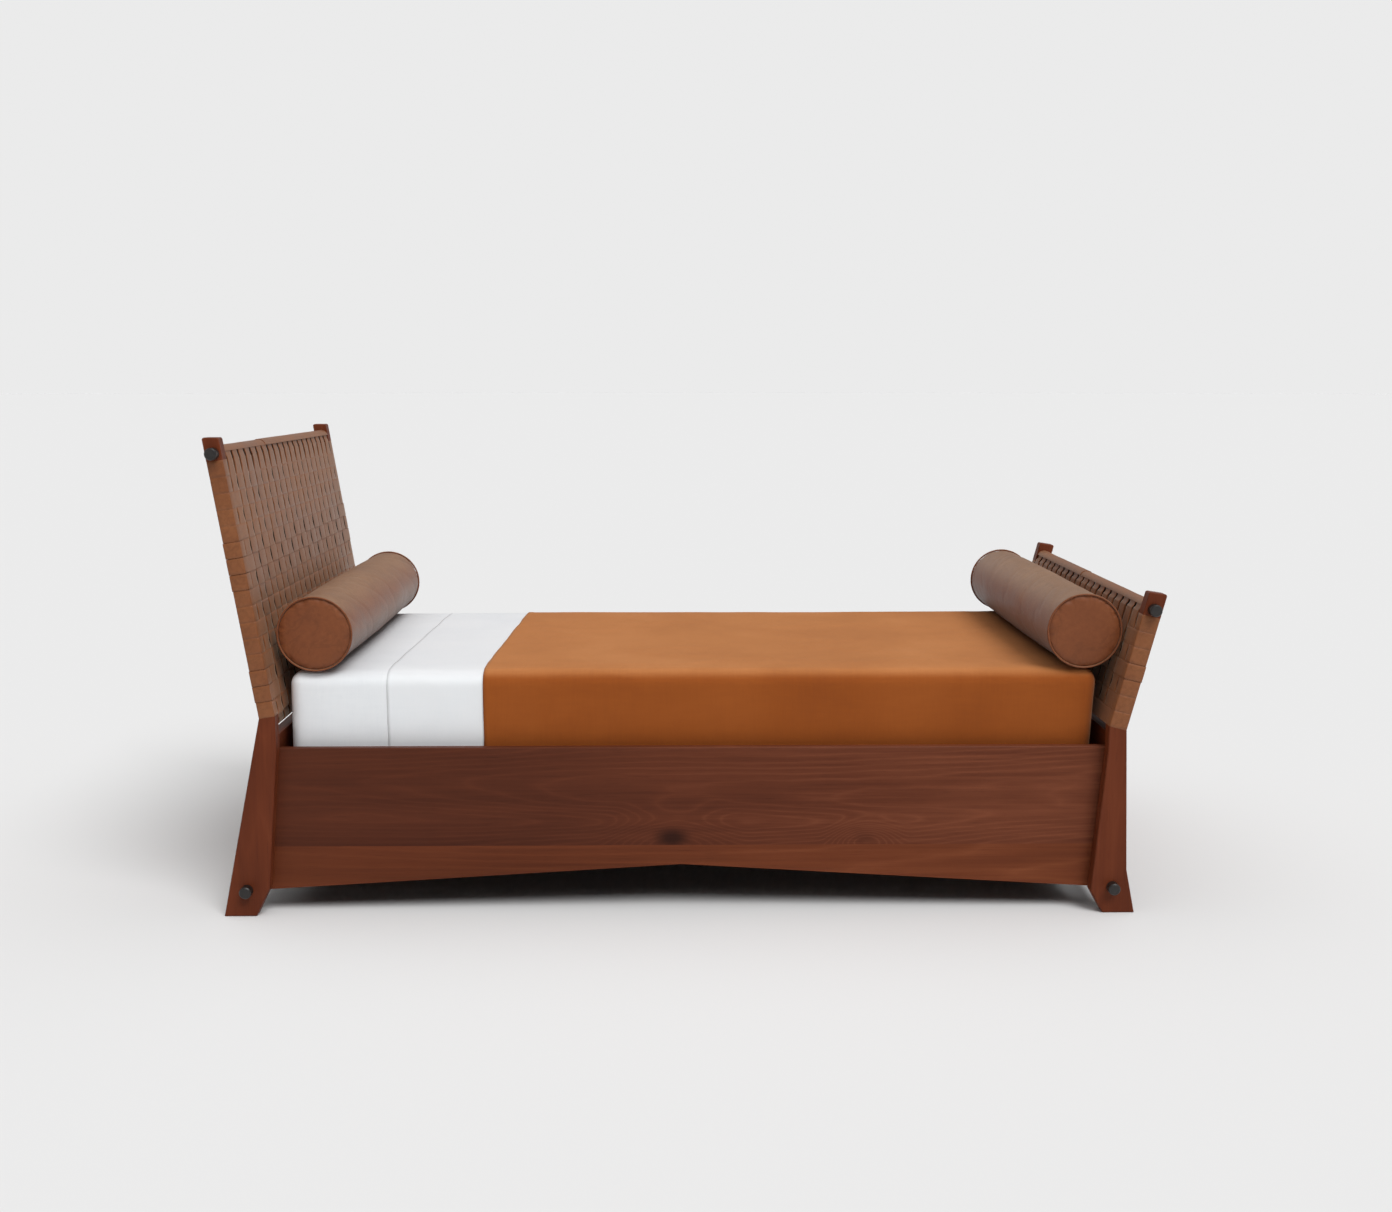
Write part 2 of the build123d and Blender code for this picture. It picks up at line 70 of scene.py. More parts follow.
HEM = 0.012  # the bedding ends this far above the mattress's underside
BEFORE_HEAD = -1.0  # a start that leaves no edge on the bed
SHEETS = (  # piece, node, start from the head, gap below, thickness, finish
    ("fitted_sheet_cloth", "fitted_sheet", BEFORE_HEAD, 0.0002, 0.0009, "linen"),
    ("top_sheet_cloth", "top_sheet", 0.246, 0.0011, 0.0005, "linen"),
    ("coverlet_cloth", "coverlet", 0.472, 0.0021, 0.0022, "rust"),
)
BEDDING_SEED = 3.0


# ---------------------------------------------------------------- camera, light and floor
def make_camera():
    data = bpy.data.cameras.new("camera")
    data.sensor_fit = "HORIZONTAL"
    data.sensor_width = 36.0
    data.lens = 40.208
    data.clip_end = 400
    cam = bpy.data.objects.new("camera", data)
    scene.collection.objects.link(cam)
    dip, turn = 8.27, -0.744
    cam.location = (-0.0315, -4.0443, 1.2351)
    cam.rotation_euler = (math.radians(90 - dip), 0, math.radians(turn))
    scene.camera = cam


def make_world():
    """Diffuse light comes from a dome that is bright overhead. The eye sees a plain backdrop,
    which reflections show dimmer."""
    ceiling_strength, backdrop_grey, reflected_share = 0.96, 0.83, 0.60
    world = bpy.data.worlds.new("studio")
    world.use_nodes = True
    tree = world.node_tree
    tree.nodes.clear()
    kinds = ("TexCoord", "SeparateXYZ", "ValToRGB", "LightPath", "Background", "Background",
             "MixShader", "OutputWorld", "Math", "Math")
    nodes = [tree.nodes.new("ShaderNode" + kind) for kind in kinds]
    coords, split, ramp, rays, ceiling, backdrop, choose, end, not_diffuse, dim = nodes
    set_ramp(ramp, [(0.0, (0.0,) * 3), (0.48, (0.01,) * 3), (0.76, (1.0,) * 3)])
    not_diffuse.operation = "SUBTRACT"
    not_diffuse.inputs[0].default_value = 1.0
    dim.operation = "MULTIPLY_ADD"
    dim.inputs[1].default_value = 1 - reflected_share
    dim.inputs[2].default_value = reflected_share
    ceiling.inputs["Strength"].default_value = ceiling_strength
    backdrop.inputs["Color"].default_value = (backdrop_grey,) * 3 + (1,)
    for source, target in (
        (coords.outputs["Generated"], split.inputs[0]),
        (split.outputs["Z"], ramp.inputs[0]),
        (ramp.outputs["Color"], ceiling.inputs["Color"]),
        (rays.outputs["Is Diffuse Ray"], not_diffuse.inputs[1]),
        (rays.outputs["Is Camera Ray"], dim.inputs[0]),
        (dim.outputs[0], backdrop.inputs["Strength"]),
        (not_diffuse.outputs[0], choose.inputs[0]),
        (ceiling.outputs[0], choose.inputs[1]),
        (backdrop.outputs[0], choose.inputs[2]),
        (choose.outputs[0], end.inputs[0]),
    ):
        tree.links.new(source, target)
    scene.world = world
    scene.view_settings.view_transform = "Standard"


def make_sun(name, toward, spread, strength):
    """A broad soft light from far off, shining along a direction. The spread is in degrees."""
    data = bpy.data.lights.new(name, "SUN")
    data.angle = math.radians(spread)
    data.energy = strength
    lamp = bpy.data.objects.new(name, data)
    scene.collection.objects.link(lamp)
    lamp.rotation_euler = Vector(toward).to_track_quat("-Z", "Y").to_euler()


def make_floor():
    radius, drop, albedo = 150, 0.0005, 0.786
    mesh = bpy.data.meshes.new("studio_floor")
    shape = bmesh.new()
    bmesh.ops.create_circle(shape, cap_ends=True, radius=radius, segments=96)
    shape.to_mesh(mesh)
    shape.free()
    floor = bpy.data.objects.new("studio_floor", mesh)
    scene.collection.objects.link(floor)
    floor.location.z = -drop
    paint = Shader("studio_paint", Specular_IOR_Level=0.0)
    mesh.materials.append(paint.finish((albedo,) * 3 + (1,), 0.9))


# ---------------------------------------------------------------- material nodes
def set_ramp(node, stops):
    """Colour stops as (position, (r, g, b))."""
    line = node.color_ramp.elements
    while len(line) > 1:
        line.remove(line[-1])
    for k, (where, colour) in enumerate(stops):
        stop = line[0] if k == 0 else line.new(where)
        stop.position = where
        stop.color = (*colour, 1)


def darker(colour, share):
    return tuple(share * c for c in colour)


class Shader:
    """A Principled material with short ways to add and join procedural nodes."""

    def __init__(self, name, **constants):
        self.mat = bpy.data.materials.new(name)
        self.mat.use_nodes = True
        self.tree = self.mat.node_tree
        self.bsdf = self.tree.nodes["Principled BSDF"]
        for key, value in constants.items():
            self.bsdf.inputs[key.replace("_", " ")].default_value = value
        self.coords = self.add("TexCoord").outputs["Object"]

    def add(self, kind, **settings):
        node = self.tree.nodes.new("ShaderNode" + kind)
        for key, value in settings.items():
            setattr(node, key, value)
        return node

    def put(self, source, socket):
        if isinstance(source, (int, float, tuple, list)):
            socket.default_value = source
        else:
            self.tree.links.new(source, socket)

    def scaled(self, scale, location=(0, 0, 0), rotation=(0, 0, 0), source=None):
        node = self.add("Mapping")
        self.put(source or self.coords, node.inputs["Vector"])
        node.inputs["Scale"].default_value = scale
        node.inputs["Location"].default_value = location
        node.inputs["Rotation"].default_value = rotation
        return node.outputs[0]

    def axes(self, vector):
        """The X, Y and Z outputs of a vector."""
        node = self.add("SeparateXYZ")
        self.put(vector, node.inputs[0])
        return node.outputs

    def facing(self):
        """The X, Y and Z outputs of the surface's own direction, in the object's frame."""
        return self.axes(self.add("TexCoord").outputs["Normal"])

    def noise(self, vector, scale, detail=3.0, rough=0.5, distortion=0.0):
        node = self.add("TexNoise")
        self.put(vector, node.inputs["Vector"])
        node.inputs["Scale"].default_value = scale
        node.inputs["Detail"].default_value = detail
        node.inputs["Roughness"].default_value = rough
        node.inputs["Distortion"].default_value = distortion
        return node.outputs[0]

    def cell_edges(self, vector, scale):
        node = self.add("TexVoronoi", feature="DISTANCE_TO_EDGE")
        self.put(vector, node.inputs["Vector"])
        node.inputs["Scale"].default_value = scale
        return node.outputs["Distance"]

    def math(self, operation, a, b=0.0, c=0.0):
        node = self.add("Math", operation=operation)
        for value, socket in zip((a, b, c), node.inputs):
            self.put(value, socket)
        return node.outputs[0]

    def span(self, value, low, high, to_low=0.0, to_high=1.0, smooth=False):
        node = self.add("MapRange")
        if smooth:
            node.interpolation_type = "SMOOTHSTEP"
        for source, socket in zip((value, low, high, to_low, to_high), node.inputs):
            self.put(source, socket)
        return node.outputs[0]

    def ramp(self, value, tones):
        """The dark, middle and light tones, evenly spaced."""
        node = self.add("ValToRGB")
        self.put(value, node.inputs[0])
        set_ramp(node, list(zip((0.0, 0.5, 1.0), tones)))
        return node.outputs[0]

    def mix(self, amount, a, b, blend="MIX"):
        node = self.add("Mix", data_type="RGBA", blend_type=blend)
        self.put(amount, node.inputs[0])
        self.put((*a, 1) if isinstance(a, tuple) else a, node.inputs[6])
        self.put((*b, 1) if isinstance(b, tuple) else b, node.inputs[7])
        return node.outputs[2]

    def tinted(self, amount, colour, tint):
        """The colour multiplied by a tint, by an amount."""
        return self.mix(amount, colour, self.mix(1.0, colour, tint, "MULTIPLY"))

    def bump(self, height, strength, distance, normal=None):
        node = self.add("Bump")
        self.put(height, node.inputs["Height"])
        node.inputs["Strength"].default_value = strength
        node.inputs["Distance"].default_value = distance
        if normal:
            self.put(normal, node.inputs["Normal"])
        return node.outputs[0]

    def finish(self, colour, roughness, normal=None):
        self.put(colour, self.bsdf.inputs["Base Color"])
        self.put(roughness, self.bsdf.inputs["Roughness"])
        if normal:
            self.put(normal, self.bsdf.inputs["Normal"])
        return self.mat


def add_knots(s, board, field, knots):
    """Bends the growth rings round each knot. Returns the field and the knots' dark cores."""
    stretch = 0.6  # a knot is longer along the grain
    cores = 0.0
    for (x, z), radius, depth in knots:
        near = s.add("VectorMath", operation="DISTANCE")
        s.put(s.scaled((stretch, 0.0, 1.0), source=board), near.inputs[0])
        near.inputs[1].default_value = (stretch * x, 0, z)
        away = near.outputs["Value"]
        field = s.math("ADD", field, s.span(away, 0.0, radius * 3.4, 0.17, 0.0, True))
        core = s.span(away, radius * 0.15, radius, depth, 0.0, True)
        cores = s.math("MAXIMUM", core, cores)
    return field, cores


def wood(name, tones, turn=(0, 0, 0), shift=(0, 0, 0), knots=(), figure=1.0, gloss=0.40,
         fade=0.0, shine=0.14):
    """Grain runs along X before the turn. Tones are dark, middle and light. A knot is
    ((x, z), radius, depth of tone). A board with a fade is darker and calmer towards -X."""
    s = Shader(name, Specular_IOR_Level=shine)
    board = s.scaled((1, 1, 1), shift, turn)
    # growth rings: a slow field, cut into bands
    field = s.noise(s.scaled((0.26, 3.6, 3.6), source=board), 1.5, 1.0, 0.4, 0.10)
    warp = s.noise(s.scaled((5, 22, 22), source=board), 1.0, 2.0, 0.5)
    field = s.math("MULTIPLY_ADD", warp, 0.030, field)
    field, cores = add_knots(s, board, field, knots)
    late = s.math("PINGPONG", s.math("MULTIPLY", field, 22.0 * figure), 0.5)
    late = s.math("POWER", s.span(late, 0.0, 0.5), 3.0)
    # fine streaks, pores and broad clouds of tone
    streak = s.noise(s.scaled((2.4, 120, 120), source=board), 1.0, 5.0, 0.64)
    band = s.noise(s.scaled((0.5, 17, 17), source=board), 1.0, 3.0, 0.5)
    pores = s.span(s.noise(s.scaled((14, 700, 700), source=board), 1.0, 2.0, 0.5), 0.60, 0.72)
    broad = s.noise(s.scaled((0.9, 2.6, 2.6), source=board), 1.3, 3.0, 0.5)
    blend = s.math("MULTIPLY_ADD", late, 0.13, s.math("MULTIPLY", streak, 0.42))
    if fade:
        along, middle = s.axes(s.coords)["X"], 0.243
        calm = s.span(along, -0.95, 0.55, 0.40, 1.25)
        blend = s.math("MULTIPLY_ADD", s.math("SUBTRACT", blend, middle), calm, middle)
    blend = s.math("MULTIPLY_ADD", broad, 0.55, blend)
    blend = s.math("MULTIPLY_ADD", band, 0.42, blend)
    if fade:
        blend = s.math("ADD", blend, s.span(along, -0.95, 0.7, -fade, fade * 0.6))
    colour = s.ramp(s.span(blend, 0.44, 1.06), tones)
    dark = darker(tones[0], 0.35)
    colour = s.mix(s.math("MULTIPLY", pores, 0.35), colour, dark)
    if knots:
        colour = s.mix(cores, colour, dark)
    rough = s.span(streak, 0.3, 0.8, gloss, gloss + 0.16)
    height = s.math("MULTIPLY_ADD", pores, -0.8, s.math("MULTIPLY", streak, 0.5))
    return s.finish(colour, rough, s.bump(height, 0.30, 0.00030))


def painted_light_round(s, colour):
    """Round leather is painted paler and greyer on top, as painted light and sheen, and painted darker
    underneath, as painted shade, but not on its flat ends.
    """
    facing = s.facing()
    wall = s.span(s.math("ABSOLUTE", facing["Y"]), 0.55, 0.9, 1.0, 0.0)
    # painted shade underneath
    under = s.math("MULTIPLY", s.span(facing["Z"], -0.60, 0.50, 1.0, 0.0, True), wall)
    colour = s.tinted(under, colour, (0.45, 0.33, 0.20))
    # painted light and sheen on top
    above = s.math("MULTIPLY", s.span(facing["Z"], 0.20, 0.95, smooth=True), wall)
    return s.tinted(above, colour, (1.25, 2.15, 3.7))


def leather(name, tones, sheen, crease=26.0, gloss=0.40, weave_shade=False, tint=(0.9, 0.9, 0.74)):
    """Full-grain hide: fine pebble, shallow creases, cloudy dye. Tones are dark, middle and
    light. Strap hide is painted dark by its points' "shade": painted shade in the weave's gaps.
    Round hide gets painted light on top and painted shade underneath."""
    s = Shader(name, Specular_IOR_Level=0.34, Sheen_Weight=sheen, Sheen_Roughness=0.40)
    s.bsdf.inputs["Sheen Tint"].default_value = (*tint, 1)
    cloud = s.noise(s.coords, 5.0, 5.0, 0.6, 0.4)
    fine = s.noise(s.coords, 90.0, 4.0, 0.6)
    pebble = s.cell_edges(s.coords, 950.0)
    veins = s.noise(s.coords, crease, 5.0, 0.62, 0.8)
    fold = s.span(s.math("ABSOLUTE", s.math("SUBTRACT", veins, 0.5)), 0.0, 0.035, 1.0, 0.0)
    blend = s.math("MULTIPLY_ADD", fine, 0.35, s.math("MULTIPLY", cloud, 0.65))
    colour = s.ramp(s.span(blend, 0.30, 0.70), tones)
    # the creases are painted darker where the bump cuts them in: painted shade in the creases
    colour = s.mix(s.math("MULTIPLY", fold, 0.22), colour, darker(tones[0], 0.5))
    # painted shade: the strap hide goes nearly black where its points' "shade" is high, in the weave's
    # gaps and low ramps
    if weave_shade:
        deep = s.add("Attribute", attribute_name="shade").outputs["Fac"]
        colour = s.mix(deep, colour, darker(tones[0], 0.10))
    else:
        colour = painted_light_round(s, colour)
    rough = s.span(cloud, 0.3, 0.7, gloss, gloss + 0.14)
    normal = s.bump(pebble, 0.28, 0.00030)
    normal = s.bump(fold, -0.25, 0.00040, normal)
    return s.finish(colour, rough, s.bump(fine, 0.20, 0.0008, normal))


def cloth(name, tones, pitch, sheen, tint=(1, 1, 1), painted_top_tint=(1, 1, 1)):
    """Plain weave with slubs and a soft bloom. Its upward side is multiplied by a tint: painted light on
    top where the tint is above one, painted shade where it is below one.
    """
    s = Shader(name, Specular_IOR_Level=0.14, Sheen_Weight=sheen, Sheen_Roughness=0.5)
    s.bsdf.inputs["Sheen Tint"].default_value = (*tint, 1)
    heights = []
    for turn in ((0, 0, 0), (0, 0, math.pi / 2)):
        wave = s.add("TexWave", wave_type="BANDS", bands_direction="DIAGONAL")
        s.put(s.scaled((1, 1, 1), rotation=turn), wave.inputs["Vector"])
        wave.inputs["Scale"].default_value = 0.31 / pitch
        wave.inputs["Distortion"].default_value = 0.6
        wave.inputs["Detail"].default_value = 1.0
        wave.inputs["Detail Scale"].default_value = 2.0
        heights.append(wave.outputs["Fac"])
    weave = s.math("MAXIMUM", *heights)
    slub = s.noise(s.scaled((240, 18, 18)), 1.0, 3.0, 0.6)
    slub = s.math("ADD", slub, s.noise(s.scaled((18, 240, 120)), 1.0, 3.0, 0.6))
    cloud = s.noise(s.coords, 3.2, 4.0, 0.55, 0.3)
    blend = s.math("MULTIPLY_ADD", slub, 0.15, s.math("MULTIPLY", cloud, 0.50))
    blend = s.math("MULTIPLY_ADD", weave, 0.05, blend)
    colour = s.ramp(s.span(blend, 0.245, 0.625), tones)
    # the upward side is multiplied by a tint: painted top light above one, painted top shade below one
    upward = s.span(s.facing()["Z"], 0.35, 1.0, smooth=True)
    colour = s.tinted(upward, colour, painted_top_tint)
    gloss = 0.85
    rough = s.span(slub, 0.6, 1.4, gloss - 0.08, gloss + 0.08)
    normal = s.bump(weave, 0.30, pitch * 0.25)
    return s.finish(colour, rough, s.bump(slub, 0.20, 0.0005, normal))


def metal(name, tone):
    s = Shader(name, Metallic=1.0)
    marks = s.noise(s.scaled((60, 900, 900)), 1.0, 3.0, 0.6)
    dull = s.noise(s.coords, 40.0, 4.0, 0.6)
    colour = s.mix(dull, tone, darker(tone, 0.6))
    return s.finish(colour, s.span(marks, 0.2, 0.8, 0.22, 0.45), s.bump(marks, 0.2, 0.0001))


# ---------------------------------------------------------------- finishes
def make_materials():
    """Every finish by its key. Wood, hide and cloth tones are dark, middle and light."""
    upright, across = (0, math.pi / 2, 0), (0, 0, math.pi / 2)
    red = ((0.088, 0.0185, 0.0065), (0.148, 0.0330, 0.0115), (0.200, 0.0500, 0.0190))
    upper = ((0.066, 0.0156, 0.0066), (0.129, 0.0330, 0.0138), (0.208, 0.0600, 0.0270))
    lower = ((0.090, 0.0205, 0.0068), (0.166, 0.0412, 0.0142), (0.240, 0.0690, 0.0260))
    deck = ((0.018, 0.0080, 0.0045), (0.028, 0.0125, 0.0070), (0.042, 0.0190, 0.0110))
    black = ((0.006, 0.0050, 0.0046), (0.012, 0.0095, 0.0085), (0.026, 0.020, 0.018))
    hide = ((0.180, 0.056, 0.017), (0.232, 0.078, 0.025), (0.285, 0.104, 0.036))
    round_hide = ((0.170, 0.046, 0.0125), (0.214, 0.061, 0.0175), (0.262, 0.083, 0.0265))
    white = ((0.86, 0.89, 0.92), (0.92, 0.945, 0.965), (0.95, 0.965, 0.98))
    coal = ((0.012, 0.012, 0.013), (0.018, 0.018, 0.020), (0.028, 0.028, 0.030))
    rust = ((0.262, 0.060, 0.009), (0.322, 0.079, 0.012), (0.372, 0.098, 0.017))
    knots = (((-0.0419, 0.174), 0.034, 0.90), ((0.4106, 0.1723), 0.020, 0.22))
    # near-black finish for the weave's most shaded faces: painted shade in its gaps
    painted_gap_shade = Shader("strap_painted_gap_shade", Specular_IOR_Level=0.02)
    return {
        "post": wood("wood_post", red, upright, (0.3, 0.7, 0.2)),
        "cross": wood("wood_cross", red, across, (0.9, 0.1, 0.5)),
        "upper": wood("wood_board_upper", upper, knots=knots, figure=1.6, fade=0.20),
        "lower": wood("wood_board_lower", lower, shift=(0.2, 0.4, 0.3), figure=0.9, fade=0.14),
        "ledger": wood("wood_deck_long", deck, shift=(0.4, 0.2, 0.9), gloss=0.6),
        "slat": wood("wood_deck_slat", deck, across, (0.1, 0.6, 0.3), gloss=0.6),
        "rod": wood("wood_blackened", black, across, (0.2, 0.3, 0.8), gloss=0.34, shine=0.5),
        "steel": metal("steel_zinc", (0.62, 0.62, 0.60)),
        "strap": leather("strap_hide", hide, 0.18, weave_shade=True),
        "painted_gap_shade": painted_gap_shade.finish((0.012, 0.005, 0.003, 1), 0.95),
        "bolster": leather("bolster_hide", round_hide, 0.24, crease=11.0, gloss=0.48,
                           tint=(0.90, 0.90, 0.84)),
        # the linen's top is painted a little darker: painted shade
        "linen": cloth("linen_white", white, 0.0009, 0.08, painted_top_tint=(0.85, 0.84, 0.84)),
        # the rust cotton's top is painted much lighter: painted light from above
        "rust": cloth("cotton_rust", rust, 0.0011, 0.25, (1.0, 0.74, 0.46), (1.50, 2.25, 4.5)),
        "ticking": cloth("ticking_cotton", coal, 0.0012, 0.02),
    }


def dress_cad(mats):
    """Every CAD node takes the finish of the first of these words in its name, or steel."""
    words = {"screw": "steel", "post": "post", "end_rail": "cross", "upper_board": "upper",
             "lower_board": "lower", "ledger": "ledger", "slat_": "slat", "rod": "rod",
             "stretcher": "rod"}
    for node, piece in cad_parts.items():
        key = next((finish for word, finish in words.items() if word in node), "steel")
        piece.data.materials.clear()
        piece.data.materials.append(mats[key])


# ---------------------------------------------------------------- mesh tools
def make_smooth(mesh):
    mesh.polygons.foreach_set("use_smooth", [True] * len(mesh.polygons))


def add_piece(name, verts, faces, material, sharp_angle=None):
    mesh = bpy.data.meshes.new(name)
    mesh.from_pydata(np.asarray(verts, float).tolist(), [], faces)
    mesh.update()
    mesh.materials.append(material)
    make_smooth(mesh)
    if sharp_angle:
        mesh.set_sharp_from_angle(angle=math.radians(sharp_angle))
    piece = bpy.data.objects.new(name, mesh)
    scene.collection.objects.link(piece)
    return piece


def tidy_normals(piece):
    shape = bmesh.new()
    shape.from_mesh(piece.data)
    bmesh.ops.recalc_face_normals(shape, faces=shape.faces)
    shape.to_mesh(piece.data)
    shape.free()


def grid_faces(rows, columns, wrap_rows=False, wrap_columns=False, start=0):
    """Quads over a rows by columns net of points."""
    faces = []
    for r in range(rows if wrap_rows else rows - 1):
        below = (r + 1) % rows
        for c in range(columns if wrap_columns else columns - 1):
            beside = (c + 1) % columns
            quad = (r * columns + c, r * columns + beside, below * columns + beside, below * columns + c)
            faces.append(tuple(start + k for k in quad))
    return faces


def node_centre(node):
    lo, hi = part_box(node)
    return (np.array(lo) + np.array(hi)) / 2


def evaluated(piece):
    """A new mesh of the piece with its modifiers applied."""
    view = bpy.context.evaluated_depsgraph_get()
    return bpy.data.meshes.new_from_object(piece.evaluated_get(view), depsgraph=view)


def settle(piece):
    """Applies the piece's modifiers."""
    made = evaluated(piece)
    piece.modifiers.clear()
    piece.data = made


def refine(piece):
    """Divides every face and smooths the piece."""
    finer = piece.modifiers.new("finer", "SUBSURF")
    finer.levels = finer.render_levels = 1
    settle(piece)


def vectors(items, key):
    flat = np.empty(len(items) * 3)
    items.foreach_get(key, flat)
    return flat.reshape(-1, 3)


def points_of(piece):
    return vectors(piece.data.vertices, "co")


def normals_of(piece):
    return vectors(piece.data.vertex_normals, "vector")


def put_points(piece, points):
    piece.data.vertices.foreach_set("co", np.asarray(points, float).ravel())
    piece.data.update()


def fbm(point, scale, seed, octaves=3):
    where = Vector((point[0] * scale[0] + seed, point[1] * scale[1], point[2] * scale[2]))
    return noise.fractal(where, 0.9, 2.1, octaves, noise_basis="PERLIN_ORIGINAL")


def inflate(piece, pressure, cap):
    """Swells a closed form under air pressure with the cloth solver, no further than the cap."""
    moments = 20
    rest = points_of(piece)
    solver = piece.modifiers.new("swell", "CLOTH")
    solver.settings.use_pressure = True
    solver.settings.uniform_pressure_force = pressure
    solver.settings.effector_weights.gravity = 0
    solver.settings.quality = 5
    solver.point_cache.frame_start = 1
    solver.point_cache.frame_end = moments
    for moment in range(1, moments + 1):
        scene.frame_set(moment)
    moved = vectors(evaluated(piece).vertices, "co") - rest
    reach = np.linalg.norm(moved, axis=1, keepdims=True)
    moved *= np.minimum(1.0, cap / np.maximum(reach, TINY))
    piece.modifiers.clear()
    put_points(piece, rest + moved)
    scene.frame_set(1)


# ---------------------------------------------------------------- woven end panels
class Panel:
    """Places points in an end frame: u up the stile, v outward through the panel, y across."""

    def __init__(self, name):
        end = ENDS[name]
        self.name = name
        self.rows, self.pitch, self.half = end["rows"], end["pitch"], end["depth"] / 2
        self.stepped, self.joint = end["stepped"], end["joint"]
        top, low = node_centre(name + "_top_rod"), node_centre(name + "_panel_rod")
        up = top - low
        self.up = up / np.linalg.norm(up)
        self.out = end["out"] * np.array([self.up[2], 0.0, -self.up[0]])
        self.top_u = self.rows * self.pitch + ROD_ABOVE_ROWS
        self.base = top - self.up * self.top_u
        self.low_u = self.top_u - np.linalg.norm(up)
        lo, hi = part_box(name + "_post_front")
        self.wide, self.clear = -lo[1], -hi[1]
        self.column = 2 * self.clear / WARP_COUNT

    def place(self, u, v, y):
        u, v, y = np.broadcast_arrays(np.asarray(u, float), v, y)
        spot = self.base + u[..., None] * self.up + v[..., None] * self.out
        spot[..., 1] = y
        return spot

    def over(self, row, column, face):
        """1 where the crosswise strap lies on top, -1 where the upright strap does."""
        if column < 0 or column >= WARP_COUNT or row * self.pitch < self.low_u:
            return 1
        if row == self.rows - 1:
            return -1
        return 1 if (row + column + face) % 2 else -1


RAMP_STATIONS = (-1.0, -0.45, 0.0, 0.45, 1.0)  # shares of a ramp's half length
RAMP_SHADE = (0.0, 0.9, 1.0, 1.0, 1.0)  # painted shade of a strap as it goes down a ramp
FLAT_CROWN = 1.12  # a flat is this much higher in its middle


def steps(edges, signs, half):
    """Stations and heights of a strap that changes side over short ramps at the edges."""
    spots, heights = [], []
    for k, edge in enumerate(edges):
        for share in RAMP_STATIONS:
            rise = (1 + math.sin(share * math.pi / 2)) / 2
            spots.append(edge + share * half)
            heights.append(signs[k] + (signs[k + 1] - signs[k]) * rise)
        if k + 1 < len(edges):
            spots.append((edge + edges[k + 1]) / 2)
            heights.append(signs[k + 1] * FLAT_CROWN)
    return np.array(spots), np.array(heights)


def ramp_shade(count, signs):
    """Painted shade of each station of steps(): the low half of a ramp, and 0 on the flats."""
    shade = np.zeros(count)
    stations = len(RAMP_STATIONS)
    for k in range(len(signs) - 1):
        if signs[k] != signs[k + 1]:
            first = (stations + 1) * k
            shade[first:first + stations] = RAMP_SHADE if signs[k] > signs[k + 1] else RAMP_SHADE[::-1]
    return shade


# how far each point of a strap's section takes up the painted shade of its ramp
SECTION_SHADE = np.array([0, 0, 0.1, 1, 1, 1, 0.1, 0, 0, 0, 0.3, 0])


def strap_section(thick, ease):
    """Outline of a strap one unit wide with eased, slightly rolled edges: (across, outward)."""
    usual_width = 0.044
    w, t, e = 0.5, thick / 2, thick * ease
    n = w - e / usual_width
    top = [(-w, -t + e), (-w, t - e), (-n, t), (-w * 0.66, t * 1.06), (0, t * 1.08)]
    top += [(w * 0.66, t * 1.06), (n, t), (w, t - e), (w, -t + e)]
    return np.array(top + [(n, -t), (0, -t), (-n, -t)])


def loop_strap(path, outward, side, width, ease=0.32):
    """A closed band: path and outward are (n, 3), side is the unit vector across its width."""
    section = strap_section(STRAP_THICK, ease)
    width = np.broadcast_to(width, len(path))
    across = (section[None, :, 0] * width[:, None])[..., None] * np.asarray(side)[None, None, :]
    raised = section[:, 1][None, :, None] * outward[:, None, :]
    points = path[:, None, :] + across + raised
    return points.reshape(-1, 3), grid_faces(len(path), len(section), True, True)


def outward_of(loop2):
    """Unit normals of a closed 2-D loop that runs anticlockwise."""
    ahead = np.roll(loop2, -1, 0) - np.roll(loop2, 1, 0)
    ahead /= np.linalg.norm(ahead, axis=1, keepdims=True)
    return np.stack([ahead[:, 1], -ahead[:, 0]], 1)


def noises(spots):
    return np.array([noise.noise(Vector(spot)) for spot in spots])


def stile_turn(side, far, level):
    """A crosswise strap's two bends round one stile, as (y, v)."""
    quarter = np.linspace(0, math.pi / 2, 4)
    spots = []
    for sign_v, angles in ((-side, quarter), (side, quarter[::-1])):
        for a in angles:
            y = side * (far - STRAP_BEND + STRAP_BEND * math.sin(a))
            spots.append((y, sign_v * (level - STRAP_BEND + STRAP_BEND * math.cos(a))))
    return spots


def weft_loop(panel, row):
    """Closed (y, v) loop round both stiles with the weave's ups and downs, and its shade."""
    stepped = row in panel.stepped
    level = panel.half - STRAP_THICK / 2 + (STEP_RISE if stepped else 0.0)
    far = panel.wide - STRAP_THICK / 2 + (STEP_REACH if stepped else 0.0)
    edges = -panel.clear + panel.column * np.arange(WARP_COUNT + 1)
    halves, shades = [], []
    for face in (0, 1):
        signs = [panel.over(row, column, face) for column in range(-1, WARP_COUNT + 1)]
        fall = 0.5 * (np.array(signs[:-1]) - np.array(signs[1:]))
        y, sign = steps(edges + WEFT_SHIFT * fall, signs, WEFT_RAMP)
        halves.append((y, level - WEAVE_DEPTH * (1 - sign)))
        shades.append(ramp_shade(len(y), signs))
    (y_in, v_in), (y_out, v_out) = halves
    right, left = stile_turn(1, far, level), stile_turn(-1, far, level)
    loop = [*zip(y_in, -v_in), *right, *zip(y_out[::-1], v_out[::-1]), *left]
    shade = [shades[0], np.zeros(len(right)), shades[1][::-1], np.zeros(len(left))]
    return np.array(loop), np.concatenate(shade)


